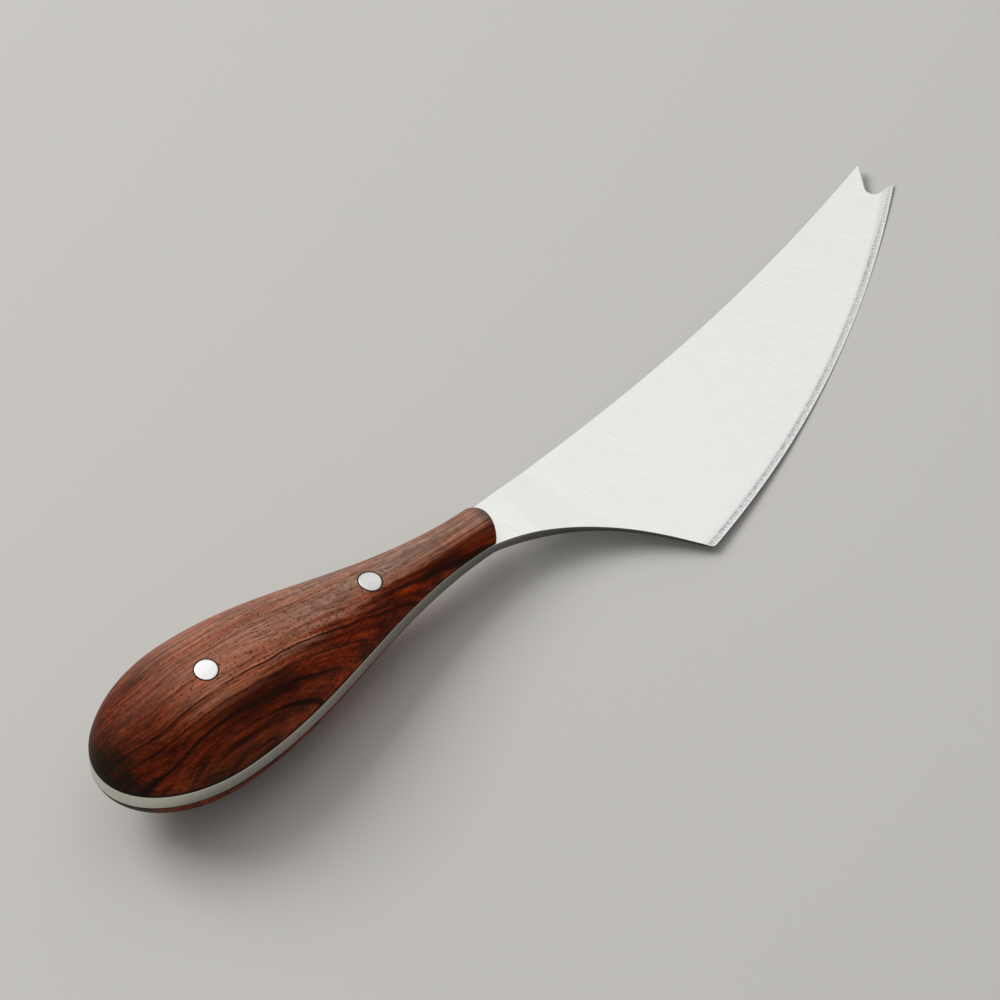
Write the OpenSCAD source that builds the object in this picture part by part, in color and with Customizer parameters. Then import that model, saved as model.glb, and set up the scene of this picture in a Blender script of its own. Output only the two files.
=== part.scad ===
// Cheese knife: one steel blade with a full tang, two wooden scales and two pins.
// The knife is drawn with its grip along X, its blade towards +X, its spine
// towards +Y and the tang's middle plane on Z = 0. as_it_lies() then lays it
// down the way it rests on a table, on the grip's belly and the cutting edge.

/* [Grip] */
// Length of the grip, from the butt to the neck's front
grip_len = 97.8; // [90:0.1:115]
// Half the grip's width at its fullest place
belly_r = 16.5; // [13:0.1:20]
// How far behind the neck's front the grip is fullest
belly_at = 72.4; // [60:0.1:85]
// Half the grip's width at its front end
neck_r = 5.2; // [4.5:0.1:7]
// How far the middle of the scales' front end stands ahead of the neck's front
nose_rise = 2.2; // [1.6:0.1:3]
// Radius of the arc of the scales' front end, seen from above
nose_r = 8.5; // [8:0.5:20]
// Radius of its two corners, seen from above
nose_corner = 2.2; // [1:0.1:2.4]
// Radius of the softened edge of the scales' front end
nose_soft = 1.2; // [0.4:0.1:1.4]

/* [Tang and pins] */
// Thickness of the steel at the tang
tang_t = 4.2; // [3:0.1:5]
// Thickness of the steel at the neck
neck_t = 2.8; // [2:0.1:3]
// How far behind the neck's front the tang starts to thin towards the neck
waist_from = 18; // [8:0.5:20]
// Diameter of the pins
pin_d = 4.8; // [3:0.1:6]
// How far behind the neck's front the rear pin sits
rear_pin_at = 70.5; // [55:0.5:85]
// How far behind the neck's front the front pin sits
front_pin_at = 28.8; // [15:0.5:45]
// Radial clearance of a pin in its holes
pin_clear = 0.02; // [0.01:0.01:0.1]

/* [Blade outline] */
// Length of the blade, from the neck's front to its upper tip
blade_len = 123.2; // [110:0.5:145]
// Height of the spine over the grip's axis where it leaves the scales
spine_y = 4.7; // [4:0.1:6]
// Height of the upper tip over the grip's axis
tip_rise = 23.1; // [18:0.1:28]
// How far ahead of the neck's front the heel corner is
heel_at = 36; // [30:0.5:45]
// How far the heel corner hangs below the grip's axis
heel_drop = 33; // [27:0.5:40]
// Radius of the curved cutting edge
edge_r = 224; // [180:1:300]

/* [Fork] */
// How far the lower tip stands ahead of the upper one
fork_lead = 3; // [1:0.1:5]
// How far the lower tip lies below the upper one
fork_drop = 8.4; // [7:0.1:11]
// How far behind the upper tip the notch has its root
notch_back = 4.7; // [3:0.1:6]
// How far below the upper tip the notch has its root
notch_drop = 8.7; // [7.5:0.1:11]
// Radius of the notch at its root
notch_r = 1.9; // [1:0.1:2.2]
// Radius of the two tips
tip_r = 0.3; // [0.1:0.05:0.4]

/* [Grind] */
// How far ahead of the neck's front the long hollow starts
hollow_from = 9; // [4:0.5:14]
// Thickness of the ground blade at its spine, across the heel
spine_t = 1.6; // [1.2:0.1:2.4]
// Thickness of the blade where the bevel starts
edge_t = 0.6; // [0.4:0.05:1]
// Width of the bevel along the cutting edge
bevel_w = 1.7; // [1:0.1:3]
// Thickness left at the sharpened edge
edge_land = 0.12; // [0.05:0.01:0.2]
// Radius of the heel corner
heel_r = 1.2; // [0.6:0.1:2]

/* [Hidden] */

// Overrun of a cut past the face that it leaves
over = 2;
// Facets of round forms in the preview
grip_fn = 96;
grind_fn = 720;
pin_fn = 48;
// Steps along a curve, and round a corner
curve_steps = 30;
butt_steps = 18;
corner_steps = 6;

// How far the two pulls of the grip's curve reach, of the run from the belly to the front
belly_pull_share = 0.365;
neck_pull_share = 0.39;
// How much slimmer than at its front end the neck is at the second pull
neck_draw = 0.4;
// How far ahead of the neck's front the steel has thinned to the neck's thickness, and in how many steps
waist_to = 2;
waist_steps = 16;
// The part of the front end's arc that its corners leave
nose_arc_share = 0.7;
nose_steps = 12;
// The spine and the heel: each curve's two pulls, along its run and along its rise
spine_shares = [[0.26, 0.088], [0.576, 0.171]];
heel_shares = [[0.665, 0.17], [0.927, 0.955]];
// Where the steel leaves the grip's form: behind the neck's front, at the spine and at the belly
spine_lead = 6;
heel_lead = 1;
// Radius of the bend there at the belly, and how far it may reach to both sides
bend_r = 14;
bend_reach = 2.4;
// Where the cutting edge touches the table, of the way from the heel to the lower tip
rest_share = 0.69;

steel_colour = [0.86, 0.87, 0.86];
wood_colour = [0.42, 0.21, 0.14];
pin_colour = [0.93, 0.93, 0.92];

function unit(v) = v / norm(v);

// A cubic curve from a to d that leaves a towards b and reaches d from c
function curve(a, b, c, d) = [for (i = [0:curve_steps]) let (t = i / curve_steps, s = 1 - t)
    s * s * s * a + 3 * s * s * t * b + 3 * s * t * t * c + t * t * t * d];

// The same, with its two pulls given as shares of the way from a to d
function run_curve(a, d, shares) = curve(a,
    [a.x + shares[0].x * (d.x - a.x), a.y + shares[0].y * (d.y - a.y)],
    [a.x + shares[1].x * (d.x - a.x), a.y + shares[1].y * (d.y - a.y)], d);

// The corner b between the sides to a and to c, rounded with radius r
function rounded(a, b, c, r) = let (
        u = unit(a - b),
        v = unit(c - b),
        half = acos(u * v) / 2,
        middle = b + unit(u + v) * r / sin(half),
        arm = b + u * r / tan(half) - middle,
        sweep = sign(cross(v, u)) * (180 - 2 * half))
    [for (i = [0:corner_steps]) let (t = sweep * i / corner_steps)
        middle + [arm.x * cos(t) - arm.y * sin(t), arm.x * sin(t) + arm.y * cos(t)]];

// Half of the grip's profile, as [place along the grip, radius]: an elliptic butt up to
// the belly, then one long curve that draws in to the neck
butt_curve = [for (i = [0:butt_steps - 1]) let (a = 90 * i / butt_steps)
    [-belly_at - (grip_len - belly_at) * cos(a), belly_r * sin(a)]];
neck_curve = curve([-belly_at, belly_r], [-belly_at * (1 - belly_pull_share), belly_r],
    [-belly_at * neck_pull_share, neck_r - neck_draw], [0, neck_r]);
grip_curve = concat(butt_curve, neck_curve);

// Half the tang's thickness: full behind the waist, then a smooth step down to the neck
function tang_half(x) = let (t = min(1, max(0, (x + waist_from) / (waist_from + waist_to))))
    tang_t / 2 - (tang_t - neck_t) / 2 * t * t * (3 - 2 * t);

// The round form through the rims of the tang, and its softened front edge
form_curve = [for (p = grip_curve) [p.x, norm([p.y, tang_half(p.x)])]];
front_r = norm([neck_r, neck_t / 2]);
nose_edge = rounded([front_r, 0], [front_r, nose_rise], [0, nose_rise], nose_soft);

// The scales' front end seen from above: one arc between two rounded corners
nose_half = asin(front_r / nose_r);
nose_arc = [for (i = [-nose_steps:nose_steps]) let (a = nose_half * nose_arc_share * i / nose_steps)
    [nose_rise - nose_r + nose_r * cos(a), nose_r * sin(a)]];
nose_corner_at = [nose_rise - nose_r + nose_r * cos(nose_half), front_r];
nose_high = rounded(nose_arc[2 * nose_steps], nose_corner_at, nose_corner_at - [grip_len, 0], nose_corner);
nose_low = [for (i = [1:len(nose_high)]) let (p = nose_high[len(nose_high) - i]) [p.x, -p.y]];
nose_line = concat(nose_low, nose_arc, nose_high);

// The blade's corners
upper_tip = [blade_len, tip_rise];
lower_tip = upper_tip + [fork_lead, -fork_drop];
notch_root = upper_tip - [notch_back, notch_drop];
heel = [heel_at, -heel_drop];

// Centre of the cutting edge's arc, which passes through the heel and the lower tip,
// and a place beyond the arc, where the outline turns back outside the sharpened edge
edge_chord = lower_tip - heel;
edge_half = asin(norm(edge_chord) / (2 * edge_r));
edge_out = unit([edge_chord.y, -edge_chord.x]);
edge_centre = (heel + lower_tip) / 2 - edge_out * edge_r * cos(edge_half);
edge_past = edge_centre + edge_out * (edge_r / cos(edge_half) + over);

// The steel's outline, from the butt along the spine to the tips and back along the belly.
// A curve stops short of the corner that it runs to, where the corner's rounding starts.
spine_curve = run_curve([0, spine_y], upper_tip, spine_shares);
heel_start = [-heel_lead, -neck_r];
heel_curve = run_curve(heel_start, heel, heel_shares);
spine_side = [for (p = spine_curve) if (norm(p - upper_tip) > notch_r) p];
heel_side = [for (p = heel_curve) if (norm(p - heel) > 2 * heel_r && norm(p - heel_start) > bend_reach) p];
grip_side = [for (i = [1:len(grip_curve) - 1]) let (p = grip_curve[len(grip_curve) - i])
    if (p.x < -heel_lead - bend_reach) [p.x, -p.y]];
outline = concat(
    [for (p = grip_curve) if (p.x < -spine_lead) p],
    spine_side,
    rounded(spine_side[len(spine_side) - 1], upper_tip, notch_root, tip_r),
    rounded(upper_tip, notch_root, lower_tip, notch_r),
    rounded(notch_root, lower_tip, edge_past, tip_r),
    [edge_past],
    rounded(edge_past, heel, heel_side[len(heel_side) - 1], heel_r),
    [for (i = [1:len(heel_side)]) heel_side[len(heel_side) - i]],
    rounded(heel_side[0], heel_start, grip_side[0], bend_r),
    grip_side);

// The tang's thickness line, from the butt to the hollow
waist_line = [for (i = [0:waist_steps]) let (x = (waist_from + waist_to) * i / waist_steps - waist_from)
    [x, tang_half(x)]];
thick_line = concat([[-grip_len - over, tang_t / 2]], waist_line, [[hollow_from, neck_t / 2]]);

// The grind: the steel thins in a long hollow from the neck to the heel, and from the
// spine to the edge in a flat wedge that follows the edge's chord
taper_drop = (neck_t - edge_t) / 2;
taper_run = heel_at - hollow_from;
taper_r = (taper_run * taper_run + taper_drop * taper_drop) / (2 * taper_drop);
edge_turn = atan2(edge_chord.y, edge_chord.x);
edge_sag = edge_r * (1 - cos(edge_half));
heel_width = (spine_y + heel_drop) * cos(edge_turn) + edge_sag;
wedge_rise = (spine_t - edge_t) / (2 * heel_width);
bevel_rise = (edge_t - edge_land) / (2 * bevel_w);
function wedge_half(d) = edge_t / 2 + (d + edge_sag - bevel_w) * wedge_rise;

// The pose on the table. The table's plane touches the cutting edge at rest_point, holds
// the edge's direction there, and touches the grip below its belly. up(b) is the plane's
// normal when it leans by b towards the belly side, and clear(b) is the height at which
// the grip then hangs over it.
rest_x = heel_at + rest_share * (lower_tip.x - heel_at);
rest_dx = rest_x - edge_centre.x;
rest_dy = sqrt(edge_r * edge_r - rest_dx * rest_dx);
rest_point = [rest_x, edge_centre.y - rest_dy, -edge_land / 2];
function up(b) = unit([-b * rest_dx / rest_dy, b, 1]);
function grip_reach(u) = max([for (p = form_curve) u.x * p.x + p.y * norm([u.y, u.z])]);
function clear(b) = -grip_reach(-up(b)) - up(b) * rest_point;
function lean(lo, hi, steps) = let (mid = (lo + hi) / 2)
    steps == 0 ? mid : clear(mid) < 0 ? lean(mid, hi, steps - 1) : lean(lo, mid, steps - 1);
table_up = up(lean(0, 1, 40));
roll = atan2(table_up.y, table_up.z);
pitch = -asin(table_up.x);

// The knife's own directions that end up along the row's X and Y, and how far it reaches
along_x = [cos(pitch), sin(pitch) * sin(roll), sin(pitch) * cos(roll)];
along_y = [0, cos(roll), -sin(roll)];
function blade_reach(u) = max([for (p = outline) if (p != edge_past) u * [p.x, p.y, 0]]);
function reach(u) = max(grip_reach(u), blade_reach(u));

module as_it_lies() {
    translate([(reach(-along_x) - reach(along_x)) / 2, (reach(-along_y) - reach(along_y)) / 2, -table_up * rest_point])
        rotate([roll, pitch, 0])
            children();
}

// The round form that the scales and the pin ends follow. It meets the tang's flat edge
// flush along the rims.
module grip_form() {
    rotate([0, 90, 0])
        rotate_extrude($fn = grip_fn)
            polygon(concat([[0, -grip_len]], [for (p = form_curve) [p.y, p.x]], nose_edge, [[0, nose_rise]]));
}

// The tang between the scales: full thickness, then thinned to the neck
module tang_form() {
    rotate([90, 0, 0])
        linear_extrude(height = 2 * (belly_r + over), center = true)
            polygon(concat(thick_line,
                [for (i = [1:len(thick_line)]) let (p = thick_line[len(thick_line) - i]) [p.x, -p.y]]));
}

module pin_holes() {
    for (at = [rear_pin_at, front_pin_at])
        translate([-at, 0, 0])
            cylinder(h = 2 * (belly_r + over), d = pin_d + 2 * pin_clear, center = true, $fn = pin_fn);
}

module pin(at) {
    color(pin_colour)
        intersection() {
            grip_form();
            translate([-at, 0, 0])
                cylinder(h = 2 * (belly_r + over), d = pin_d, center = true, $fn = pin_fn);
        }
}

// One half of the grip over the tang's upper face, with the rounded front end
module scale_half() {
    back = -grip_len - over;
    side = belly_r + over;
    color(wood_colour)
        difference() {
            intersection() {
                grip_form();
                linear_extrude(height = belly_r + over)
                    polygon(concat([[back, side], [back, -side], [nose_line[0].x, -side]], nose_line,
                        [[nose_line[0].x, side]]));
            }
            tang_form();
            pin_holes();
        }
}

// The hollow ahead of the neck
module neck_taper() {
    rotate([90, 0, 0])
        linear_extrude(height = 2 * (heel_drop + over), center = true)
            difference() {
                translate([hollow_from - over, -neck_t / 2])
                    square([over + taper_run, neck_t]);
                for (side = [-1, 1])
                    translate([hollow_from + taper_run, side * (edge_t / 2 + taper_r)])
                        circle(r = taper_r, $fn = grind_fn);
            }
}

module wedge() {
    near = -edge_sag - over;
    far = heel_width + over;
    translate([heel.x, heel.y, 0])
        rotate([90, 0, 90 + edge_turn])
            translate([0, 0, -heel_at])
                linear_extrude(height = heel_at + norm(edge_chord) + 2 * over)
                    polygon([[near, -wedge_half(near)], [far, -wedge_half(far)],
                        [far, wedge_half(far)], [near, wedge_half(near)]]);
}

// The bevel: everything inside a thin-rimmed disc that has the cutting edge as its rim
module edge_disc() {
    full_at = edge_r - (tang_t - edge_land / 2) / bevel_rise;
    translate([edge_centre.x, edge_centre.y, 0])
        rotate_extrude($fn = grind_fn)
            polygon([[0, -tang_t], [full_at, -tang_t], [edge_r, -edge_land / 2],
                [edge_r, edge_land / 2], [full_at, tang_t], [0, tang_t]]);
}

module blade() {
    color(steel_colour)
        difference() {
            intersection() {
                linear_extrude(height = tang_t, center = true)
                    polygon(outline);
                union() {
                    tang_form();
                    intersection() {
                        union() {
                            neck_taper();
                            wedge();
                        }
                        edge_disc();
                    }
                }
            }
            pin_holes();
        }
}

module upper_scale() {
    scale_half();
}

module lower_scale() {
    mirror([0, 0, 1])
        scale_half();
}

module rear_pin() {
    pin(rear_pin_at);
}

module front_pin() {
    pin(front_pin_at);
}

as_it_lies() blade();
as_it_lies() upper_scale();
as_it_lies() lower_scale();
as_it_lies() rear_pin();
as_it_lies() front_pin();
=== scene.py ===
import math
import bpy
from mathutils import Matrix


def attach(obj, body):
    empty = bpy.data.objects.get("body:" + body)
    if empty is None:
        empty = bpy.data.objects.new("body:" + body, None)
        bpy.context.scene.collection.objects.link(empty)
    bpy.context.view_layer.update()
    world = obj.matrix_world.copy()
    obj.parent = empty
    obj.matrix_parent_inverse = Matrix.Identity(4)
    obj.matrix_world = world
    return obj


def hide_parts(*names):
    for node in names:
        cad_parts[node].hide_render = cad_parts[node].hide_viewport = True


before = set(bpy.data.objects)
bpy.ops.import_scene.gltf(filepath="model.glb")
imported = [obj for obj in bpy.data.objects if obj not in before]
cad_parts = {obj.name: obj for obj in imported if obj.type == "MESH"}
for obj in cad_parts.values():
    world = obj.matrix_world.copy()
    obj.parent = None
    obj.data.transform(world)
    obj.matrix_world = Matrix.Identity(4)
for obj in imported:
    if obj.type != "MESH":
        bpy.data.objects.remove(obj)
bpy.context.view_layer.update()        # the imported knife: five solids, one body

from types import SimpleNamespace

import bmesh
import bpy
import numpy as np
from mathutils import Euler

# The blade. One plate of stainless steel, cut to its outline, with the full tang left at
# plate thickness, a long hollow ground behind the heel, a flat wedge ground up to the
# spine and a bevel ground along the curved edge. Every edge of the plate is eased.
MM = 0.001
LEAN, NOSE_DOWN = math.radians(8.62506), math.radians(5.37855)
LAID_AT = np.array([-13.8952, 4.92456, 10.1708])
lay = Euler((LEAN, NOSE_DOWN, 0.0))

# in knife millimetres: X along the grip from the neck's front, Y to the spine, Z up; a name in
# HALF is half the steel's thickness, and pulls are shares of a curve's run and rise
BUTT, BELLY_AT, BELLY_R, NECK_R = -97.8, -72.4, 16.5, 5.2
BELLY_PULL, NECK_PULL, NECK_DRAW = 0.365, 0.39, 0.4
TANG_HALF, NECK_HALF = 2.1, 1.4
WAIST_FROM, WAIST_TO, HOLLOW_FROM = -18.0, 2.0, 9.0
SPINE_LEAD, HEEL_LEAD = -6.0, -1.0      # where the steel leaves the grip's form
BEND_R, BEND_REACH = 14.0, 2.4          # the bend there on the belly side
SPINE_START, UPPER_TIP = np.array([0.0, 4.7]), np.array([123.2, 23.1])
SPINE_PULLS = np.array([[0.26, 0.088], [0.576, 0.171]])
LOWER_TIP, NOTCH_ROOT = np.array([126.2, 14.7]), np.array([118.5, 14.4])
TIP_R, NOTCH_R = 0.3, 1.9
HEEL, HEEL_R = np.array([36.0, -33.0]), 1.2
HEEL_PULLS = np.array([[0.665, 0.17], [0.927, 0.955]])
EDGE_R, EDGE_HALF, BEVEL_START_HALF, BEVEL_W = 224.0, 0.06, 0.3, 1.7
SPINE_HALF = 0.8
SOFT_GRIND, SOFT_NECK = 0.05, 0.12      # how softly the hollow meets the wedge and the neck
EASE, EASE_SHARE = 0.18, 0.8            # an easing's radius, and the most it takes of a height
WELD, LEAST_EDGE = 2e-6, 1e-7           # metres: rims closer are joined, shorter edges dropped

# stations along the plate's outline, rows across it, and points of a finely drawn line
BUTT_STEPS, GRIP_STEPS, HEEL_STEPS, EDGE_STEPS = 45, 108, 110, 260
CORNER_STEPS, TIP_STEPS, NOTCH_STEPS = 9, 11, 40
EVEN_ROWS, FORK_REACH = 44, 70
NECK_POINTS, SPINE_POINTS, LEAD_POINTS = 600, 400, 200
HEEL_AIM, TIP_AIM = 0.95, 0.97          # of the edge's half turn: its corners are turned to there
EDGE_START = 0.6                        # of the heel's radius: the edge line starts there
CORNER_FROM, CORNER_TO = 16.6, 18.0     # the part of the spine opposite the heel's corner
QUARTER_ROUND = np.radians([0, 30, 60, 90])


def laid(points):
    """Row metres of knife millimetres: turned by the lean and the nose-down angle, then shifted
    to where the knife lies."""
    return (points @ np.array(lay.to_matrix()).T + LAID_AT) * MM


def along(a, b, c, d, t):
    """Cubic curve at the shares t of its run: it leaves a towards b and reaches d from c."""
    t = np.asarray(t, float)[:, None]
    return (1 - t) ** 3 * a + 3 * (1 - t) ** 2 * t * b + 3 * (1 - t) * t ** 2 * c + t ** 3 * d


def rounded(a, b, c, radius, count):
    """Arc that touches the sides b-a and b-c: its two ends, turned into each other about its
    middle."""
    u, v = (a - b) / np.linalg.norm(a - b), (c - b) / np.linalg.norm(c - b)
    half = math.acos(u @ v) / 2
    middle = b + (u + v) / np.linalg.norm(u + v) * radius / math.sin(half)
    start = b + u * radius / math.tan(half) - middle
    end = b + v * radius / math.tan(half) - middle
    sweep = math.pi - 2 * half
    t = np.linspace(0, sweep, count)[:, None]
    return middle + (np.sin(sweep - t) * start + np.sin(t) * end) / math.sin(sweep)


neck_line = along(
    np.array([BELLY_AT, BELLY_R]),
    np.array([BELLY_AT * (1 - BELLY_PULL), BELLY_R]),
    np.array([BELLY_AT * NECK_PULL, NECK_R - NECK_DRAW]),
    np.array([0.0, NECK_R]),
    np.linspace(0, 1, NECK_POINTS),
)


def grip_radius(x):
    """Radius of the turned grip: an ellipse behind the belly, and the long neck curve ahead of
    it."""
    back = (x - BELLY_AT) / (BUTT - BELLY_AT)
    round_butt = BELLY_R * np.sqrt(np.clip(1 - back ** 2, 0, 1))
    return np.where(x < BELLY_AT, round_butt, np.interp(x, neck_line[:, 0], neck_line[:, 1]))


def tang_half(x):
    """Half the tang's thickness: full behind the waist, then a smooth S down to the neck's."""
    t = np.clip((x - WAIST_FROM) / (WAIST_TO - WAIST_FROM), 0, 1)
    return TANG_HALF - (TANG_HALF - NECK_HALF) * t * t * (3 - 2 * t)


edge_chord = LOWER_TIP - HEEL
edge_turn = math.atan2(edge_chord[1], edge_chord[0])
edge_half_turn = math.asin(np.linalg.norm(edge_chord) / (2 * EDGE_R))
edge_inward = np.array([-math.sin(edge_turn), math.cos(edge_turn)])
edge_centre = (HEEL + LOWER_TIP) / 2 + edge_inward * EDGE_R * math.cos(edge_half_turn)
edge_sag = EDGE_R * (1 - math.cos(edge_half_turn))


def plate_half(p):
    """Half the steel's thickness at plan points: the tang, then the larger of the hollow behind
    the heel (a circle's rise from the heel line) and the wedge (rising evenly from the edge's
    chord), both blended softly into each other and into the neck, and never more than the
    bevel, which rises from the edge at its own steeper slope."""
    run = HEEL[0] - HOLLOW_FROM
    drop = NECK_HALF - BEVEL_START_HALF
    hollow_r = (run ** 2 + drop ** 2) / (2 * drop)
    ahead = np.clip(HEEL[0] - p[..., 0], 0, None)
    hollow = BEVEL_START_HALF + hollow_r - np.sqrt(hollow_r ** 2 - ahead ** 2)
    wedge_w = (SPINE_START[1] - HEEL[1]) * math.cos(edge_turn) + edge_sag
    rise = (SPINE_HALF - BEVEL_START_HALF) / wedge_w
    wedge = BEVEL_START_HALF + ((p - HEEL) @ edge_inward + edge_sag - BEVEL_W) * rise
    ground = (hollow + wedge + np.sqrt((hollow - wedge) ** 2 + SOFT_GRIND ** 2)) / 2
    ground = (ground + NECK_HALF - np.sqrt((ground - NECK_HALF) ** 2 + SOFT_NECK ** 2)) / 2
    depth = EDGE_R - np.linalg.norm(p - edge_centre, axis=-1)
    bevel = EDGE_HALF + np.clip(depth, 0, None) * (BEVEL_START_HALF - EDGE_HALF) / BEVEL_W
    return np.minimum(ground + tang_half(p[..., 0]) - NECK_HALF, bevel)


# the belly side, from the butt round the heel to the lower tip
butt_turn = np.linspace(0, math.pi / 2, BUTT_STEPS + 1)[:-1]
grip_x = np.r_[
    BELLY_AT + (BUTT - BELLY_AT) * np.cos(butt_turn),
    np.linspace(BELLY_AT, HEEL_LEAD - BEND_REACH, GRIP_STEPS),
]
grip_side = np.c_[grip_x, -grip_radius(grip_x)]
heel_start = np.array([HEEL_LEAD, -NECK_R])
heel_pulls = heel_start + HEEL_PULLS * (HEEL - heel_start)
heel_line = along(heel_start, *heel_pulls, HEEL, np.linspace(0, 1, HEEL_STEPS))
heel_line = heel_line[np.linalg.norm(heel_line - HEEL, axis=1) > HEEL_R]
heel_line = heel_line[np.linalg.norm(heel_line - heel_start, axis=1) > BEND_REACH]
bend = rounded(grip_side[-1], heel_start, heel_line[0], BEND_R, CORNER_STEPS)
heel_line = np.r_[bend, heel_line]


def on_edge(turn):
    """Point of the cutting edge at a turn about its centre, counted from the middle of the
    chord."""
    a = edge_turn - math.pi / 2 + np.atleast_1d(turn)
    return edge_centre + EDGE_R * np.c_[np.cos(a), np.sin(a)]


near_heel = on_edge(-edge_half_turn * HEEL_AIM)[0]
near_tip = on_edge(edge_half_turn * TIP_AIM)[0]
heel_corner = rounded(heel_line[-1], HEEL, near_heel, HEEL_R, CORNER_STEPS)
tip_corner = rounded(near_tip, LOWER_TIP, NOTCH_ROOT, TIP_R, TIP_STEPS)
edge_from = EDGE_START * HEEL_R / EDGE_R - edge_half_turn
edge_to = edge_half_turn - np.linalg.norm(tip_corner[0] - LOWER_TIP) / EDGE_R
edge_line = on_edge(np.linspace(edge_from, edge_to, EDGE_STEPS + 2)[1:-1])
tip_middle = TIP_STEPS // 2
belly_side = np.r_[grip_side, heel_line, heel_corner, edge_line, tip_corner[:tip_middle + 1]]

# the spine side, one station for each of the belly side's
spine_pulls = SPINE_START + SPINE_PULLS * (UPPER_TIP - SPINE_START)
spine_line = along(SPINE_START, *spine_pulls, UPPER_TIP, np.linspace(0, 1, SPINE_POINTS))
before_tip = spine_line[-6]
upper_corner = rounded(before_tip, UPPER_TIP, NOTCH_ROOT, TIP_R, TIP_STEPS)
spine_x = np.r_[
    grip_x,
    np.linspace(grip_x[-1], CORNER_FROM, len(heel_line) + 1)[1:],
    np.linspace(CORNER_FROM, CORNER_TO, len(heel_corner) + 1)[1:],
    np.linspace(CORNER_TO, upper_corner[0, 0], len(edge_line) + 2)[1:-1],
]
lead_x = np.linspace(BELLY_AT, SPINE_LEAD, LEAD_POINTS)
steel_top = np.r_[np.c_[lead_x, grip_radius(lead_x)], spine_line]
blade_y = np.interp(spine_x, steel_top[:, 0], steel_top[:, 1])
spine_y = np.where(spine_x < BELLY_AT, grip_radius(spine_x), blade_y)
spine_side = np.r_[np.c_[spine_x, spine_y], upper_corner[:tip_middle + 1]]

# rungs across the plate: close rows at both edges and along the bevel, in millimetres where
# the plate is wide enough, and even rows between
rung = spine_side - belly_side
width = np.linalg.norm(rung, axis=1)
some_width = np.maximum(width, 1e-9)
towards_centre = np.abs(np.einsum("ij,ij->i", rung, edge_centre - belly_side))
lean_in = towards_centre / (some_width * EDGE_R)
past_heel = np.arange(len(width)) - len(grip_x) - len(heel_line)
on_bevel = np.clip(past_heel / len(heel_corner), 0, 1)
stretch = 1 + on_bevel * (1 / np.clip(lean_in, 0.6, 1) - 1)
near_edge = np.array([0, 0.1, 0.25, 0.55, 0.85, 1.15, 1.4, 1.6, 1.7, 1.8, 2.0])
near_spine = np.array([0.4, 0.12, 0.0])
close_share = 0.2
close_in = np.minimum(1, close_share * width / near_edge[-1])
low_rows = near_edge[None, :] * (stretch * close_in)[:, None] / some_width[:, None]
high_rows = 1 - near_spine[None, :] * close_in[:, None] / some_width[:, None]
no_width = width < 1e-6
low_rows[no_width] = np.linspace(0, close_share, len(near_edge))
high_rows[no_width] = np.linspace(1 - close_share / 2, 1, len(near_spine))
even = np.linspace(0, 1, EVEN_ROWS + 2)[None, 1:-1]
between = low_rows[:, -1:] + (high_rows[:, :1] - low_rows[:, -1:]) * even
rows = np.c_[low_rows, between, high_rows]


def spaced(line, shares):
    """Points of a line at the given shares of its length."""
    step = np.r_[0, np.cumsum(np.linalg.norm(np.diff(line, axis=0), axis=1))]
    return np.c_[tuple(np.interp(shares * step[-1], step, column) for column in line.T)]


notch = rounded(LOWER_TIP, NOTCH_ROOT, UPPER_TIP, NOTCH_R, NOTCH_STEPS)
fork = np.r_[tip_corner[tip_middle:], notch, upper_corner[:tip_middle - 1:-1]]
fork_line = spaced(fork, rows[-1])
fork_line[0], fork_line[-1] = belly_side[-1], spine_side[-1]


def inset(loop, by):
    """A closed counter-clockwise loop moved inwards: each point along the inward normal of its
    neighbours' chord."""
    chord = np.roll(loop, -1, 0) - np.roll(loop, 1, 0)
    inward = np.c_[-chord[:, 1], chord[:, 0]] / np.linalg.norm(chord, axis=1)[:, None]
    return loop + inward * by[:, None]


def filled(low, high, end, shares, reach):
    """Plan points of a grid between two lines: straight rungs from low to high at the shares,
    then bent over the last reach stations, in a smooth S, until the last rung lies on the end
    line."""
    rungs = low[:, None] + shares[..., None] * (high - low)[:, None]
    s = np.clip((np.arange(len(low)) - (len(low) - 1 - reach)) / reach, 0, 1)
    s = s ** 3 * (10 - 15 * s + 6 * s ** 2)
    return rungs + s[:, None, None] * (end - rungs[-1])[None]


def cells(rows_n, columns_n, first=0):
    """Corner numbers of each cell of a grid of points that are numbered row by row from
    first."""
    corner = first + np.arange(rows_n - 1)[:, None] * columns_n + np.arange(columns_n - 1)[None]
    ahead = corner + columns_n
    return np.stack([corner, corner + 1, ahead + 1, ahead], -1).reshape(-1, 4)


def ground_piece(name, sheets):
    """One closed piece from grids of knife millimetres, each with its finish number: the grids
    are laid on the table and welded where their rims meet, and the faces are turned outwards."""
    points, faces, finish, first = [], [], [], 0
    for grid, number in sheets:
        points.append(grid.reshape(-1, 3))
        faces.append(cells(grid.shape[0], grid.shape[1], first))
        finish.append(np.full(len(faces[-1]), number))
        first += len(points[-1])
    mesh = bpy.data.meshes.new(name)
    corners = np.concatenate(faces).tolist()
    mesh.from_pydata(laid(np.concatenate(points)).tolist(), [], corners)
    mesh.polygons.foreach_set("material_index", np.concatenate(finish).astype(np.int32))
    bm = bmesh.new()
    bm.from_mesh(mesh)
    bmesh.ops.remove_doubles(bm, verts=bm.verts, dist=WELD)
    bmesh.ops.dissolve_degenerate(bm, edges=bm.edges, dist=LEAST_EDGE)
    bmesh.ops.recalc_face_normals(bm, faces=bm.faces)
    bm.to_mesh(mesh)
    bm.free()
    mesh.shade_smooth()
    piece = bpy.data.objects.new(name, mesh)
    bpy.context.scene.collection.objects.link(piece)
    return piece


def with_height(plan, z):
    """Plan points and their heights as points in space."""
    return np.concatenate([plan, np.broadcast_to(z, plan.shape[:-1])[..., None]], -1)


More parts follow.
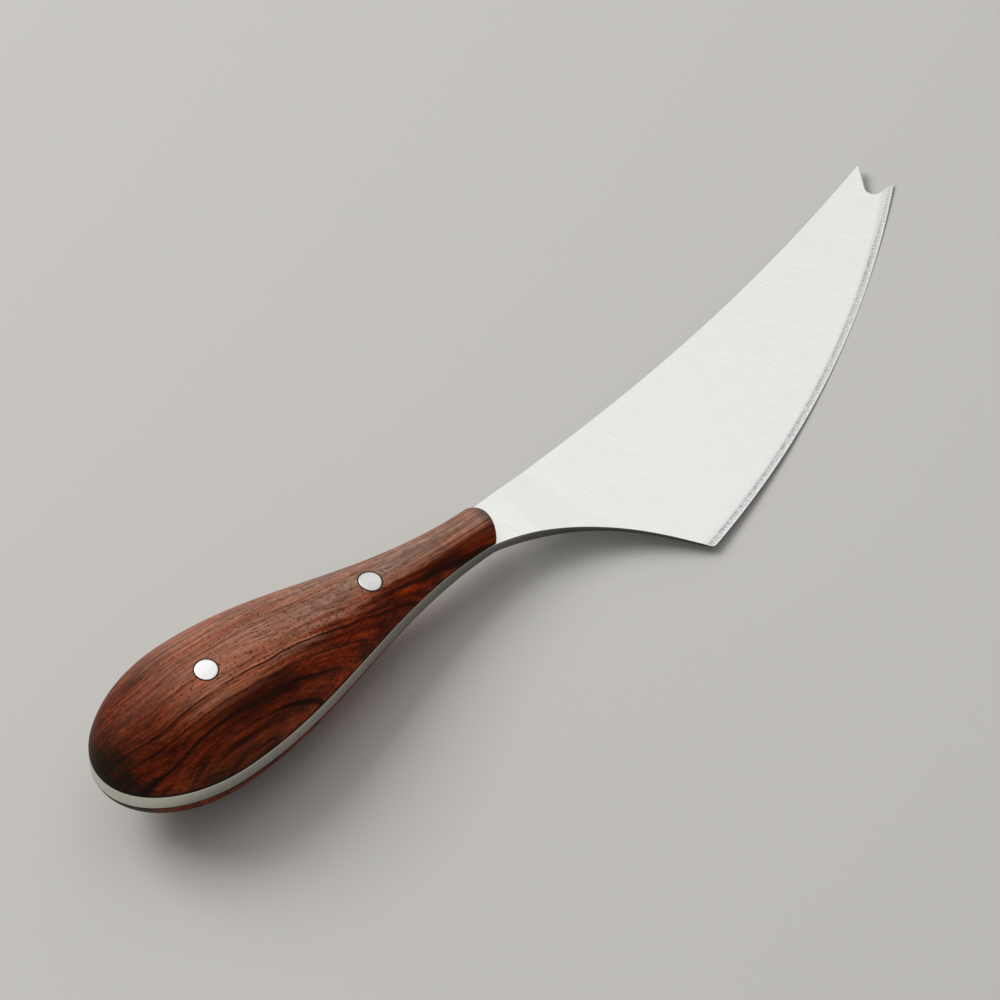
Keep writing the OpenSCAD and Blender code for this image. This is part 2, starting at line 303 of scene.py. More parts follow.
outline = np.r_[belly_side, fork_line[1:], spine_side[-2:0:-1]]
ease = np.minimum(EASE, EASE_SHARE * plate_half(outline))
face_rim = inset(outline, ease)
stations, across = rows.shape
face_plan = filled(
    face_rim[:stations],
    np.r_[face_rim[:1], face_rim[:stations + across - 3:-1]],
    face_rim[stations - 1:stations + across - 1],
    rows,
    FORK_REACH,
)
face_half = plate_half(face_plan)
rim_half = plate_half(face_rim)
half_wall = [
    with_height(face_rim + np.sin(a) * (outline - face_rim), rim_half - ease * (1 - np.cos(a)))
    for a in QUARTER_ROUND
]
wall = np.stack(half_wall + [p * [1, 1, -1] for p in half_wall[::-1]], 1)
blade = ground_piece("blade_steel_plate", [
    (with_height(face_plan, face_half), 0),
    (with_height(face_plan, -face_half), 0),
    (np.concatenate([wall, wall[:1]]), 1),
])
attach(blade, "root")
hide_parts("blade")


def wire(tree, kind, inputs=None, **settings):
    """One shader node: its settings, and its inputs as values or as links from other nodes'
    outputs."""
    node = tree.nodes.new("ShaderNode" + kind)
    for key, value in settings.items():
        setattr(node, key, value)
    for key, value in (inputs or {}).items():
        if isinstance(value, bpy.types.NodeSocket):
            tree.links.new(value, node.inputs[key])
        else:
            node.inputs[key].default_value = value
    return node


def calc(tree, operation, a, b=0.0, c=0.0):
    """One sum on shader values."""
    return wire(tree, "Math", {0: a, 1: b, 2: c}, operation=operation).outputs[0]


def times(tree, value, *others):
    """Shader values multiplied together."""
    for other in others:
        value = calc(tree, "MULTIPLY", value, other)
    return value


def added(tree, value, *others):
    """Shader values added up."""
    for other in others:
        value = calc(tree, "ADD", value, other)
    return value


def scaled(tree, value, by, plus=0.0):
    """A shader value times a number, plus another."""
    return calc(tree, "MULTIPLY_ADD", value, by, plus)


def fade(tree, value, none, full):
    """0 up to where the value is `none`, 1 from `full` on, and a smooth S between them."""
    node = wire(
        tree, "MapRange", {"Value": value, "From Min": none, "From Max": full},
        interpolation_type="SMOOTHSTEP",
    )
    return node.outputs["Result"]


def vector(tree, operation, a, b=(0.0, 0.0, 0.0)):
    """One sum on places."""
    return wire(tree, "VectorMath", {0: a, 1: b}, operation=operation).outputs[0]


def plan_distance(tree, knife, x, y):
    """How far a place is from a plan point of the knife."""
    flat = vector(tree, "MULTIPLY", vector(tree, "SUBTRACT", knife, (x, y, 0.0)), (1.0, 1.0, 0.0))
    return wire(tree, "VectorMath", {0: flat}, operation="LENGTH").outputs["Value"]


def blend(tree, share, a, b, how="MIX"):
    """Colour a turned into colour b by the share."""
    node = wire(tree, "Mix", {"Factor": share}, data_type="RGBA", blend_type=how)
    for socket, value in ((node.inputs[6], a), (node.inputs[7], b)):
        if isinstance(value, bpy.types.NodeSocket):
            tree.links.new(value, socket)
        else:
            socket.default_value = (*value, 1.0)
    return node.outputs[2]


def tinted(tree, colour, tint, share=1.0):
    """A colour multiplied by a tint, as far as the share says."""
    return blend(tree, share, colour, tint, "MULTIPLY")


def grain(tree, at, stretch, scale=1.0, detail=2.0, rough=0.5):
    """Noise in the place `at`, drawn out by the stretch along each axis."""
    drawn = vector(tree, "MULTIPLY", at, stretch)
    node = wire(tree, "TexNoise", {
        "Vector": drawn, "Scale": scale, "Detail": detail, "Roughness": rough,
    })
    return node.outputs[0]


def ramp(tree, share, stops):
    """Colours along a share, as (place, colour) stops; one number stands for a grey."""
    node = wire(tree, "ValToRGB", {"Fac": share})
    band = node.color_ramp
    while len(band.elements) < len(stops):
        band.elements.new(0.5)
    for element, (place, colour) in zip(band.elements, stops):
        colour = colour if isinstance(colour, tuple) else (colour,) * 3
        element.position, element.color = place, (*colour, 1.0)
    return node.outputs["Color"]


def new_finish(name):
    """An empty material with its shader, and knife millimetres worked out from the piece's own
    place."""
    material = bpy.data.materials.new(name)
    material.use_nodes = True
    tree = material.node_tree
    tree.nodes.clear()
    shader = wire(tree, "BsdfPrincipled")
    wire(tree, "OutputMaterial", {"Surface": shader.outputs[0]})
    place = wire(tree, "TexCoord").outputs["Object"]
    knife = wire(
        tree, "Mapping",
        {"Vector": place, "Location": LAID_AT * MM, "Rotation": lay, "Scale": (MM, MM, MM)},
        vector_type="TEXTURE",
    )
    return material, tree, shader, knife.outputs[0]


def lay_on(tree, shader, colour, rough, relief=None, strength=0.0, height=0.0):
    """A finish's colour, roughness and, where it has one, relief linked to its shader."""
    tree.links.new(colour, shader.inputs["Base Color"])
    tree.links.new(rough, shader.inputs["Roughness"])
    if relief is None:
        return
    bump = wire(tree, "Bump", {"Height": relief, "Strength": strength, "Distance": height})
    tree.links.new(bump.outputs[0], shader.inputs["Normal"])


def ground_steel():
    """Satin faces, ground with fine lines across the blade that fan a little with the curved
    edge: they run towards a point beyond its centre. The bevel is ground again along its own
    width, which leaves darker ticks across it and a ragged inner border that closes in towards
    the tip; a bright line along the edge is a painted highlight."""
    material, tree, shader, knife = new_finish("ground_steel")
    from_centre = plan_distance(tree, knife, *edge_centre)
    depth = calc(tree, "SUBTRACT", EDGE_R, from_centre)
    x = wire(tree, "SeparateXYZ", {0: knife}).outputs[0]

    # the lines' own place: millimetres round the fan, outwards and up
    fan_beyond = 0.6
    fan_centre = edge_centre + edge_inward * EDGE_R * fan_beyond
    from_fan = vector(tree, "SUBTRACT", knife, (*fan_centre, 0.0))
    over, up, height = wire(tree, "SeparateXYZ", {0: from_fan}).outputs
    sweep = times(tree, calc(tree, "ARCTAN2", up, over), EDGE_R * (1 + fan_beyond))
    fanned = wire(tree, "CombineXYZ", {0: sweep, 1: from_centre, 2: height}).outputs[0]

    # the face
    fine = grain(tree, fanned, (2.6, 0.2, 0.4), detail=3.0, rough=0.65)
    cloud = grain(tree, knife, (0.03, 0.03, 0.03))
    face = blend(tree, fade(tree, fine, 0.25, 0.75), (0.645, 0.658, 0.63), (0.718, 0.728, 0.703))
    cloudy = times(tree, fade(tree, cloud, 0.3, 0.7), 0.35)
    face = blend(tree, cloudy, face, (0.70, 0.705, 0.678))

    # the bevel: its border, its ticks and a painted highlight along the edge
    ragged = times(tree, grain(tree, fanned, (2.6, 0.5, 0.0), detail=3.0, rough=0.7), 0.7)
    closing = scaled(tree, fade(tree, x, 108.0, 124.0), 0.5, ragged)
    in_bevel = fade(tree, added(tree, depth, closing), BEVEL_W + 0.2, BEVEL_W - 0.05)
    in_bevel = times(tree, in_bevel, fade(tree, x, LOWER_TIP[0] + 0.1, LOWER_TIP[0] - 1.2))
    bevel = ramp(tree, calc(tree, "DIVIDE", depth, BEVEL_W), [
        (0.0, (0.73, 0.735, 0.73)), (0.3, (0.65, 0.655, 0.655)),
        (0.7, (0.51, 0.515, 0.52)), (1.0, (0.37, 0.375, 0.38)),
    ])
    ticks = grain(tree, fanned, (3.2, 0.9, 0.0), detail=3.0, rough=0.75)
    bevel = tinted(tree, bevel, ramp(tree, ticks, [(0.36, (0.58, 0.58, 0.59)), (0.6, 1.22)]))
    # painted highlight: a brighter line along the cutting edge, of slightly uneven width
    uneven = times(tree, grain(tree, fanned, (1.3, 0.0, 0.0), detail=3.0), 0.3)
    painted_edge_highlight = fade(tree, added(tree, depth, uneven), 0.5, 0.32)
    bevel = blend(tree, painted_edge_highlight, bevel, (0.76, 0.77, 0.76))

    colour = blend(tree, in_bevel, face, bevel)
    shader.inputs["Metallic"].default_value = 1.0
    lay_on(tree, shader, colour, scaled(tree, fine, 0.1, 0.27), fine, 0.1, 0.00002)
    return material


def plate_edge():
    """The plate's edge: duller steel, a little warm, with very fine ticks across its length. Light
    and
    shade are painted along it: brightest round the butt, darker at the neck and darkest under the
    hollow, where the steel mirrors shade. The spine and the fork are as bright as the faces."""
    material, tree, shader, knife = new_finish("plate_edge")
    x, y = wire(tree, "SeparateXYZ", {0: knife}).outputs[:2]
    shading_from, shading_run = -100.0, 150.0
    # painted light and shade by x: light round the butt, dark at the neck, darkest on the wall
    # under the hollow, light again past the heel
    painted_light = ramp(tree, scaled(tree, x, 1 / shading_run, -shading_from / shading_run), [
        (0.0, (0.60, 0.585, 0.51)), (0.3, (0.55, 0.54, 0.475)), (0.55, (0.38, 0.37, 0.325)),
        (0.67, (0.25, 0.24, 0.21)), (0.76, (0.11, 0.105, 0.09)), (0.9, (0.07, 0.066, 0.058)),
        (0.92, (0.6, 0.6, 0.58)),
    ])
    spine_part = times(tree, fade(tree, x, SPINE_LEAD, 4.0), fade(tree, y, -2.0, 1.0))
    painted_light = blend(tree, spine_part, painted_light, (0.66, 0.665, 0.64))
    ticks = grain(tree, knife, (5.0, 5.0, 0.3), detail=3.0, rough=0.6)
    colour = tinted(tree, painted_light, ramp(tree, ticks, [(0.3, 0.93), (0.7, 1.05)]))
    shader.inputs["Metallic"].default_value = 1.0
    lay_on(tree, shader, colour, scaled(tree, ticks, 0.1, 0.3), ticks, 0.1, 0.00002)
    return material


for finish in (ground_steel(), plate_edge()):
    blade.data.materials.append(finish)

# The two scales. Each is half of one turned grip, of oiled red-brown wood with dark streaks
# and open pores, glued to a face of the tang. Its front end is rounded over, and its rim
# is eased where it meets the steel.
NOSE_RISE, NOSE_R, NOSE_CORNER, NOSE_SOFT, RIM_EASE = 2.2, 8.5, 2.2, 1.2, 0.14
NOSE_ARC_SHARE = 0.7                    # of the nose's arc: the corners leave this much
FRONT_AT = -6.0                         # from here on the stations bend to the nose's arc
WOOD_BUTT_STEPS, WOOD_GRIP_STEPS = 51, 118
NOSE_STEPS, FRONT_STEPS, OVER_STEPS, NOSE_REACH = 60, 14, 9, 28
PIN_AT, PIN_R = (-70.5, -28.8), 2.4     # the pins, which leave dirt lines in the wood
wood_turn = math.pi / 2 * np.linspace(0, 1, WOOD_BUTT_STEPS + 1)[:-1] ** 1.3
wood_x = np.r_[
    BELLY_AT + (BUTT - BELLY_AT) * np.cos(wood_turn),
    np.linspace(BELLY_AT, FRONT_AT, WOOD_GRIP_STEPS),
]
rim_rows = np.array([0, 0.0015, 0.003, 0.005, 0.009, 0.016])
round_rows = np.r_[rim_rows, np.linspace(0.03, 0.97, 62), 1 - rim_rows[::-1]]


def round_form(x):
    """Radius of the turned form, which meets the tang's flat wall flush at the tang's own
    height."""
    return np.hypot(grip_radius(x), tang_half(x))


def dome(plan):
    """Height of the turned form over plan points: the circle of its radius there."""
    x, y = plan[..., 0], plan[..., 1]
    return np.sqrt(np.clip(round_form(x) ** 2 - y ** 2, tang_half(x) ** 2, None))


# the front end seen from above: one arc, and a rounded corner at each side
front_half = float(round_form(0.0))
nose_half = math.asin(front_half / NOSE_R)
nose_turn = np.linspace(0, NOSE_ARC_SHARE * nose_half, NOSE_STEPS)
nose_back = NOSE_RISE - NOSE_R
nose_arc = np.c_[nose_back + NOSE_R * np.cos(nose_turn), NOSE_R * np.sin(nose_turn)]
corner_at = np.array([nose_back + NOSE_R * math.cos(nose_half), front_half])
behind_corner = corner_at - [NOSE_R, 0.0]
nose_corner = rounded(nose_arc[-1], corner_at, behind_corner, NOSE_CORNER, NOSE_STEPS)
nose_side = np.r_[nose_arc, nose_corner]


def rim_draw(rise):
    """How far the rim's quarter round stands in, at a rise above the tang's face."""
    rise = np.clip(rise, 0, RIM_EASE)
    return RIM_EASE - np.sqrt(np.clip(RIM_EASE ** 2 - (RIM_EASE - rise) ** 2, 0, None))


def eased_rim(points):
    """Wood within the ease of the tang's face drawn in along the outline's normal, as a quarter
    round."""
    x, y, z = points[..., 0], points[..., 1], points[..., 2]
    step, steepest, butt_w, crossing_w = 0.01, 12.0, 0.6, 0.3
    slope = (grip_radius(x + step) - grip_radius(x - step)) / (2 * step)
    slope = np.where(x < BUTT + butt_w, steepest, np.clip(slope, -3, steepest))
    side = np.sign(y) * np.minimum(1, np.abs(y) / crossing_w)
    out = np.stack([-slope, side], -1)
    out /= np.maximum(np.linalg.norm(out, axis=-1), 1e-9)[..., None]
    points[..., :2] -= out * rim_draw(z - tang_half(x))[..., None]
    return points


def scale_sheets(side):
    """The upper scale's skin and its flat inner face, mirrored for the lower one. Stations run
    from the butt to the front; each is an arc of the grip from rim to rim, and the last ones
    bend to the nose's arc, turn over it in a quarter round and run down to the tang."""
    wide = round_form(wood_x)
    low_turn = np.arcsin(tang_half(wood_x) / wide)
    turn = low_turn[:, None] + (math.pi - 2 * low_turn[:, None]) * round_rows[None]
    x = np.broadcast_to(wood_x[:, None], turn.shape)
    skin = np.stack([x, -wide[:, None] * np.cos(turn), wide[:, None] * np.sin(turn)], -1)

    # the nose's arc, its outward normal and the radius of its softened edge
    y_end = skin[-1, :, 1] * NECK_R / abs(skin[-1, 0, 1])
    on_arc = np.c_[np.interp(np.abs(y_end), nose_side[:, 1], nose_side[:, 0]), y_end]
    outward = np.gradient(on_arc, axis=0) @ np.array([[0.0, -1.0], [1.0, 0.0]])
    outward /= np.linalg.norm(outward, axis=1)[:, None]
    soft = np.minimum(NOSE_SOFT, EASE_SHARE * (dome(on_arc) - NECK_HALF))[:, None]

    # forwards to the soft edge, over it, and down to the tang
    share = np.linspace(0, 1, FRONT_STEPS + 1)[1:, None, None]
    front = skin[-1, :, :2] * (1 - share) + (on_arc - outward * soft) * share
    front = with_height(front, dome(front))
    over = np.radians(np.linspace(0, 90, OVER_STEPS + 1)[1:])[:, None, None]
    turned = on_arc - outward * soft * (1 - np.sin(over))
    turned = with_height(turned, dome(turned) - (soft * (1 - np.cos(over)))[..., 0])
    down = np.array([0.3, 0.6, 0.85, 0.95, 1.0])[:, None]
    foot_z = turned[-1, :, 2] * (1 - down) + NECK_HALF * down
    foot = with_height(np.broadcast_to(on_arc, (len(down), *on_arc.shape)), foot_z)
    foot[..., :2] -= outward * rim_draw(foot_z - NECK_HALF)[..., None]
    skin = np.concatenate([eased_rim(np.concatenate([skin, front])), turned, foot])

    # the flat inner face between the rims
    even = (1 - np.cos(math.pi * np.linspace(0, 1, len(round_rows)))) / 2
    shares = np.broadcast_to(even, skin.shape[:2])
    inner = filled(skin[:, 0, :2], skin[:, -1, :2], skin[-1, :, :2], shares, NOSE_REACH)
    inner = with_height(inner, tang_half(inner[..., 0]))
    mirror = np.array([1, 1, side])
    return [(skin * mirror, 0), (inner * mirror, 0)]


upper = ground_piece("scale_wood_upper", scale_sheets(1))
lower = ground_piece("scale_wood_lower", scale_sheets(-1))


def near(tree, value, middle, none, full):
    """1 within `full` of the middle, 0 from `none` away, and a smooth S between them."""
    away = calc(tree, "ABSOLUTE", calc(tree, "SUBTRACT", value, middle))
    return fade(tree, away, none, full)


def flecks(tree, at, stretch, size, chosen):
    """One small fleck in each cell of a stretched place, for a share of the cells."""
    cell = wire(tree, "TexVoronoi", {"Vector": vector(tree, "MULTIPLY", at, stretch), "Scale": 1.0})
    draw = wire(tree, "SeparateColor", {0: cell.outputs["Color"]}).outputs[0]
    return times(tree, fade(tree, cell.outputs["Distance"], *size), fade(tree, draw, *chosen))


def wood_places(tree, knife):
    """Where a point lies in the wood. Its growth layers stand almost upright along the grip, so
    a layer is the place across it, less a fifth of the height, less a curl that grows with the
    square of the way into the butt, with a slow waver: their lines arch over the belly. The
    slant, across over height, says how far round from the crown a point is, and the nose's
    round-over keeps that of the neck behind it."""
    x, y, z = wire(tree, "SeparateXYZ", {0: knife}).outputs
    height = calc(tree, "ABSOLUTE", z)
    into_butt = calc(tree, "MAXIMUM", calc(tree, "SUBTRACT", -82.0, x), 0.0)
    curl = times(tree, into_butt, into_butt, -0.026)
    waver = scaled(tree, grain(tree, knife, (0.05, 0.12, 0.12)), 1.2, -0.6)
    layer = added(tree, scaled(tree, height, -0.2, y), curl, waver)
    sheet = wire(tree, "CombineXYZ", {0: x, 1: layer, 2: z}).outputs[0]
    over_nose = scaled(tree, times(tree, y, y), -1.0, front_half ** 2)
    over_nose = calc(tree, "SQRT", calc(tree, "MAXIMUM", over_nose, NECK_HALF ** 2))
    over_nose = times(tree, over_nose, fade(tree, x, -1.5, 0.0))
    slant = calc(tree, "DIVIDE", y, calc(tree, "MAXIMUM", height, over_nose))
    return SimpleNamespace(
        knife=knife, x=x, y=y, z=z, height=height, slant=slant, layer=layer, sheet=sheet,
    )


def wood_tones(tree, at):
    """The layers' patchy tones. The crown carries a pale painted sheen with a broken border, and
    the belly's flank is painted darker as shade. Streaks, red patches, fibres and a faint ripple
    lie over them."""
    patchy = grain(tree, at.sheet, (0.025, 0.22, 0.05), detail=3.0, rough=0.6)
    colour = ramp(tree, patchy, [
        (0.36, (0.055, 0.013, 0.006)), (0.43, (0.13, 0.025, 0.007)),
        (0.49, (0.19, 0.036, 0.010)), (0.54, (0.13, 0.030, 0.012)),
        (0.58, (0.21, 0.038, 0.010)), (0.66, (0.26, 0.05, 0.014)),
    ])
    broken = scaled(tree, grain(tree, at.sheet, (0.04, 0.8, 0.15), detail=3.0), 1.1, -0.55)
    round_by = scaled(tree, fade(tree, at.x, -48.0, -22.0), -0.1, added(tree, at.slant, broken))
    # painted sheen: a mask over the crown with a broken border, none at the butt and reaching less
    # far round on the spine side; the pale colour blended in below is the sheen
    painted_light = times(
        tree, fade(tree, round_by, -0.68, -0.16), fade(tree, at.x, -88.0, -66.0),
        scaled(tree, fade(tree, at.slant, 1.2, 3.0), -0.5, 1.0),
    )
    pale = blend(tree, fade(tree, at.x, -62.0, -30.0), (0.38, 0.18, 0.118), (0.38, 0.24, 0.178))
    colour = blend(tree, times(tree, painted_light, 0.66), colour, pale)
    # painted light and shade by how far round from the crown: a lighter band at the crown's border,
    # then the belly's flank darker
    colour = tinted(tree, colour, ramp(tree, times(tree, round_by, -1 / 8), [
        (0.01, 1.0), (0.045, (1.26, 1.17, 1.08)), (0.062, (1.16, 0.98, 0.84)),
        (0.1, (0.84, 0.64, 0.47)), (0.25, (0.88, 0.77, 0.58)), (0.75, (1.08, 1.03, 0.78)),
    ]))
    under_neck = times(tree, fade(tree, at.x, -60.0, -42.0), fade(tree, round_by, -0.6, -1.1))
    colour = tinted(tree, colour, (1.8, 1.4, 1.0), under_neck)
    over_neck = times(tree, fade(tree, at.x, -45.0, -25.0), fade(tree, at.slant, 0.3, 1.4))
    colour = tinted(tree, colour, (0.76, 0.76, 0.78), over_neck)

    # streaks and fibres are calmer under the painted sheen
    calm = scaled(tree, painted_light, -0.3, 1.0)
    streak = grain(tree, at.sheet, (0.025, 1.15, 0.2), detail=3.0, rough=0.6)
    colour = tinted(tree, colour, ramp(tree, streak, [
        (0.36, (0.52, 0.44, 0.40)), (0.50, (1.0, 0.97, 0.95)), (0.64, (1.4, 1.45, 1.5)),
    ]), calm)
    red = fade(tree, grain(tree, at.knife, (0.05, 0.22, 0.12)), 0.4, 0.62)
    colour = tinted(tree, colour, blend(tree, red, (0.97, 1.0, 1.03), (1.12, 0.93, 0.84)))
    fibre = grain(tree, at.sheet, (0.07, 2.3, 1.5), detail=3.0, rough=0.75)
    colour = tinted(tree, colour, ramp(tree, fibre, [
        (0.36, (0.55, 0.52, 0.5)), (0.50, 0.98), (0.64, 1.48),
    ]), calm)
    ripple = grain(tree, at.knife, (1.2, 0.3, 0.3), rough=0.6)
    return tinted(tree, colour, ramp(tree, ripple, [(0.35, 0.9), (0.65, 1.1)])), fibre


def dark_lines(tree, colour, at):
    """Thin dark lines along the layers that come and go, one more under the neck, and a dark
    swath on the belly."""
    ink, layers_run, stops = (0.012, 0.003, 0.001), 36.0, []
    for middle, half, dark in (     # millimetres of the layer, half width, strength
        (-16.8, 0.24, 0.7), (-15.1, 0.34, 0.95), (-12.9, 0.55, 1.0), (-11.7, 0.2, 0.6),
        (-10.4, 0.24, 0.7), (-7.8, 0.34, 0.95), (-7.0, 0.2, 0.6), (1.4, 0.24, 0.5),
        (7.3, 0.3, 0.6),
    ):
        for edge, strength in ((-half, 0.0), (0.0, dark), (half, 0.0)):
            stops.append((0.5 + (middle + edge) / layers_run, strength))
    shaky = grain(tree, at.sheet, (0.12, 0.5, 0.12), detail=3.0, rough=0.6)
    shaky = added(tree, at.layer, scaled(tree, shaky, 0.9, -0.45))
    line = ramp(tree, scaled(tree, shaky, 1 / layers_run, 0.5), stops)
    comes_goes = fade(tree, grain(tree, at.sheet, (0.06, 0.5, 0.06)), 0.36, 0.54)
    line = times(tree, fade(tree, line, 0.15, 0.75), scaled(tree, comes_goes, 0.6, 0.35))
    colour = blend(tree, line, colour, ink)
    dark_neck = times(tree, near(tree, shaky, -5.5, 0.42, 0.12), fade(tree, at.x, -40.0, -22.0))
    colour = blend(tree, times(tree, dark_neck, 0.85), colour, ink)
    swath = times(tree, near(tree, at.layer, -12.7, 1.3, 0.3), near(tree, at.x, -63.5, 17.0, 4.0))
    return blend(tree, times(tree, swath, 0.7), colour, (0.018, 0.003, 0.001))


def dashes_and_pores(tree, colour, at):
    """Short dark dashes along the grain, and open pores that crowd along the crown between the
    pins."""
    dash = flecks(tree, at.sheet, (0.3, 1.7, 1.5), (0.34, 0.16), (0.62, 0.66))
    colour = blend(tree, times(tree, dash, 0.6), colour, (0.02, 0.005, 0.002))
    crown = times(
        tree, near(tree, at.slant, 0.1, 0.8, 0.35),
        scaled(tree, fade(tree, at.x, -80.0, -62.0), 0.5, 0.5),
        scaled(tree, fade(tree, at.x, -18.0, -34.0), 0.6, 0.4),
    )
    crowd = scaled(tree, crown, 0.36, grain(tree, at.sheet, (0.04, 0.2, 0.1)))
    pore = flecks(tree, at.sheet, (0.85, 1.9, 1.9), (0.33, 0.17), (0.38, 0.43))
    pore = times(tree, pore, fade(tree, crowd, 0.56, 0.78))
    return blend(tree, times(tree, pore, 0.9), colour, (0.03, 0.011, 0.007)), dash, pore


def ends_dirt_and_shade(tree, colour, at):
    """The duller end grain of the nose; the butt darker towards its end, partly its end grain and
    partly painted shade, and specked; the dirt lines round the pins; and a darker band along the
    steel, partly a dark joint and partly painted shade."""
    colour = tinted(tree, colour, (0.62, 0.8, 0.95), fade(tree, at.x, -0.8, 0.9))
    spotty = grain(tree, at.knife, (0.3, 0.3, 0.3), detail=4.0, rough=0.7)
    from_butt = added(tree, at.x, scaled(tree, spotty, 5.0, -2.5))
    # darker towards the butt's end: partly its dark end grain, partly painted shade
    colour = tinted(tree, colour, ramp(tree, scaled(tree, from_butt, 1 / 25, 100 / 25), [
        (0.08, (0.14, 0.13, 0.12)), (0.2, (0.34, 0.27, 0.22)), (0.36, (0.68, 0.6, 0.54)),
        (0.8, 1.0),
    ]))
    butt = scaled(tree, spotty, -12.0, scaled(tree, at.y, 0.15, at.x))
    speck = fade(tree, grain(tree, at.knife, (1.1, 1.1, 1.1)), 0.62, 0.52)
    butt = times(tree, fade(tree, butt, -96.0, -103.5), scaled(tree, speck, 0.5, 0.5), 0.92)
    colour = blend(tree, butt, colour, (0.010, 0.007, 0.003))
    for pin_at in PIN_AT:
        away = plan_distance(tree, at.knife, pin_at, 0.0)
        ring = times(tree, fade(tree, away, PIN_R + 0.45, PIN_R + 0.15), 0.85)
        colour = blend(tree, ring, colour, (0.01, 0.006, 0.005))
    # a darker band along the steel, narrower on the lower scale and towards the front: partly a
    # dark joint, partly painted shade where the scale meets the steel
    thinning = fade(tree, at.x, WAIST_FROM, WAIST_TO)
    steel = scaled(tree, thinning, NECK_HALF - TANG_HALF, TANG_HALF)
    narrow = calc(tree, "MAXIMUM", fade(tree, at.x, -52.0, -25.0), fade(tree, at.z, 1.0, -1.0))
    off_steel = scaled(tree, narrow, 0.6, calc(tree, "SUBTRACT", at.height, steel))
    rim = times(tree, fade(tree, off_steel, 1.15, 0.55), 0.88)
    return blend(tree, rim, colour, (0.010, 0.006, 0.004))


def oiled_wood():
    """Red-brown wood: the layers' tones with a painted sheen and painted shade, then the dark
    lines, the dashes and pores, and last the two ends, the dirt and more painted shade. Fibres,
    dashes and pores also stand in the relief."""
    material, tree, shader, knife = new_finish("oiled_wood")
    at = wood_places(tree, knife)
    colour, fibre = wood_tones(tree, at)
    colour = dark_lines(tree, colour, at)
    colour, dash, pore = dashes_and_pores(tree, colour, at)
    colour = ends_dirt_and_shade(tree, colour, at)
    shader.inputs["Specular IOR Level"].default_value = 0.06
    rough = scaled(tree, pore, 0.2, scaled(tree, fibre, 0.15, 0.38))
    relief = scaled(tree, fibre, 0.35, scaled(tree, dash, -0.5, times(tree, pore, -1.0)))
    lay_on(tree, shader, colour, rough, relief, 0.35, 0.00008)
    return material


wood = oiled_wood()
for scale, node in ((upper, "upper_scale"), (lower, "lower_scale")):
    scale.data.materials.append(wood)
    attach(scale, "root")
    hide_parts(node)

# The two pins. Round rods of light steel through both scales and the tang, ground off
# flush with the turned wood, so that each end has the grip's own curve, and their rims
# are broken by the sanding.
PIN_PROUD, PIN_RIM = 0.03, 0.12
PIN_RINGS, PIN_SIDES = 9, 72


def pin_sheets(at):
    """A rod across the grip: rings out from the middle of its top, over its rim, down its wall
    and back in below. Each end's height is the grip's own height at that place, and the rim
    drops in a quarter round."""
    around = np.linspace(0, 2 * math.pi, PIN_SIDES + 1)
    fall = QUARTER_ROUND[1:]
    flat = np.linspace(0, PIN_R - PIN_RIM, PIN_RINGS)
    ring = np.r_[flat, PIN_R - PIN_RIM + PIN_RIM * np.sin(fall)][:, None]
    drop = np.r_[np.zeros(PIN_RINGS), PIN_RIM * (1 - np.cos(fall))][:, None]
    plan = np.stack([at + ring * np.cos(around), ring * np.sin(around)], -1)
    end = with_height(plan, dome(plan) + PIN_PROUD - drop)
    return [(np.concatenate([end, end[::-1] * [1, 1, -1]]), 0)]


def pin_metal():
    """Sanded light metal: pale, soft, with faint lines from the sanding."""
    material, tree, shader, knife = new_finish("pin_metal")
    sanded = grain(tree, knife, (3.5, 0.6, 0.6), detail=3.0, rough=0.6)
    lines = fade(tree, sanded, 0.3, 0.7)
    colour = blend(tree, lines, (0.69, 0.69, 0.688), (0.74, 0.74, 0.738))
    shader.inputs["Metallic"].default_value = 1.0
    lay_on(tree, shader, colour, scaled(tree, sanded, 0.1, 0.42))
    return material


pin_finish = pin_metal()
for name, node, at in (
    ("pin_rod_rear", "rear_pin", PIN_AT[0]),
    ("pin_rod_front", "front_pin", PIN_AT[1]),
):
    pin = ground_piece(name, pin_sheets(at))
    pin.data.materials.append(pin_finish)
    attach(pin, "root")
    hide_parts(node)

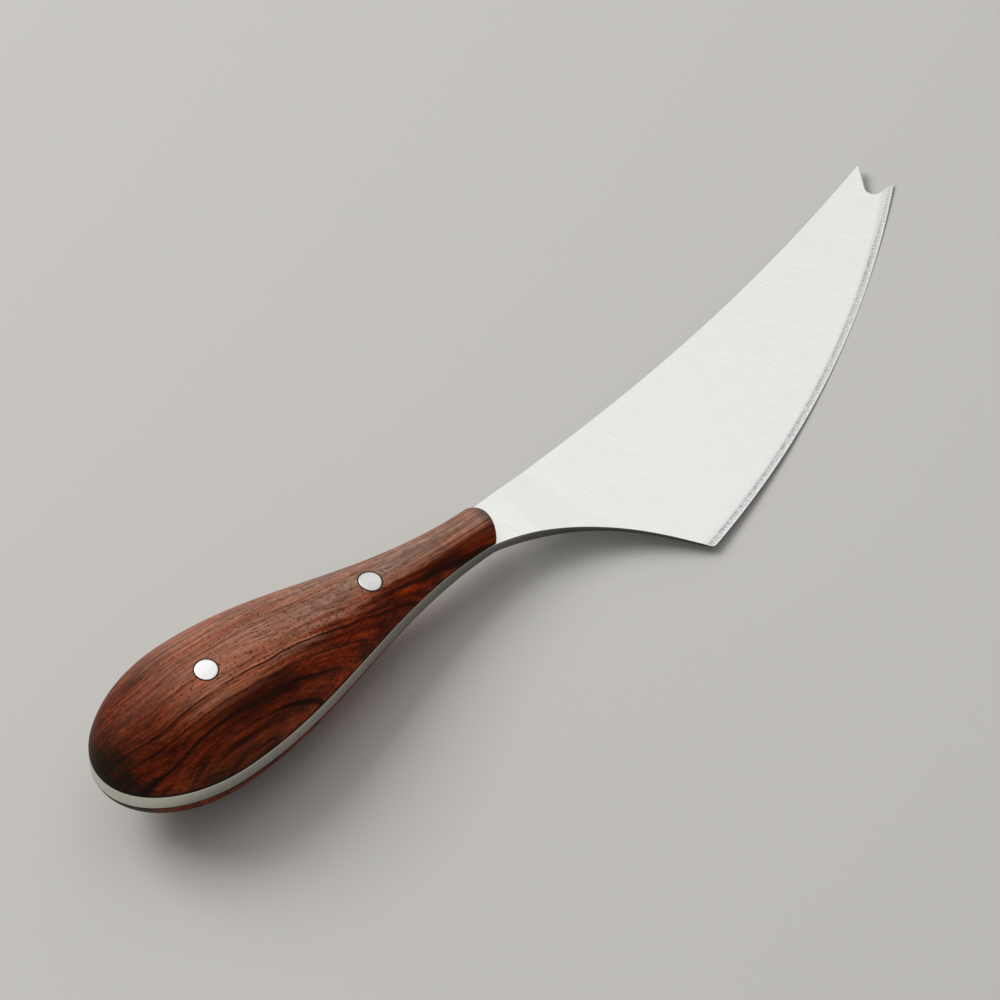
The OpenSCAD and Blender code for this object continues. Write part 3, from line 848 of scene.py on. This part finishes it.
# The studio. A plain pale floor under the knife, a large soft lamp overhead that the steel
# mirrors, a soft window lamp from behind the spine side, and a white room round them.
scene = bpy.context.scene
scene.view_settings.view_transform = "Standard"
FLOOR_HALF = 3.0
floor_mesh = bpy.data.meshes.new("floor")
floor_signs = ((-1, -1), (1, -1), (1, 1), (-1, 1))
floor_corners = [(sx * FLOOR_HALF, sy * FLOOR_HALF, 0.0) for sx, sy in floor_signs]
floor_mesh.from_pydata(floor_corners, [], [(0, 1, 2, 3)])
floor = bpy.data.objects.new("floor", floor_mesh)
scene.collection.objects.link(floor)
paper = bpy.data.materials.new("pale_paper")
paper.use_nodes = True
paper_shader = paper.node_tree.nodes["Principled BSDF"]
paper_shader.inputs["Base Color"].default_value = (0.60, 0.585, 0.56, 1.0)
paper_shader.inputs["Roughness"].default_value = 0.8
paper_shader.inputs["Specular IOR Level"].default_value = 0.2
floor_mesh.materials.append(paper)

# white where it is seen or mirrored, and dimmer as a light
ROOM_LIGHT, ROOM_SEEN = 0.3, 0.65
room = bpy.data.worlds.new("room")
room.use_nodes = True
scene.world = room
room_tree = room.node_tree
room_tree.nodes.clear()
path = wire(room_tree, "LightPath").outputs
seen = calc(room_tree, "MAXIMUM", path["Is Glossy Ray"], path["Is Transmission Ray"])
seen = calc(room_tree, "MAXIMUM", path["Is Camera Ray"], seen)
strength = scaled(room_tree, seen, ROOM_SEEN - ROOM_LIGHT, ROOM_LIGHT)
glow = wire(room_tree, "Background", {"Color": (1.0, 0.995, 0.98, 1.0), "Strength": strength})
wire(room_tree, "OutputWorld", {"Surface": glow.outputs[0]})


def soft_lamp(name, at, size, power):
    """A square soft lamp at a place in metres, turned to the middle of the knife."""
    data = bpy.data.lights.new(name, "AREA")
    data.size, data.energy = size, power
    lamp = bpy.data.objects.new(name, data)
    lamp.location = at
    lamp.rotation_euler = (-lamp.location).to_track_quat("-Z", "Y").to_euler()
    lamp.visible_camera = False
    scene.collection.objects.link(lamp)


soft_lamp("overhead", (0.35, 0.45, 1.5), 2.0, 6.7)
soft_lamp("window", (-0.42, 1.12, 1.35), 1.1, 20.0)

# The camera, where the photograph was taken from.
camera_data = bpy.data.cameras.new("camera")
camera_data.sensor_width = 36.0
camera_data.lens = 205.2
camera = bpy.data.objects.new("camera", camera_data)
camera.location = (-0.331746, -0.623332, 0.960153)
camera.rotation_euler = [math.radians(a) for a in (35.94036, 8.47372, -38.78751)]
scene.collection.objects.link(camera)
scene.camera = camera
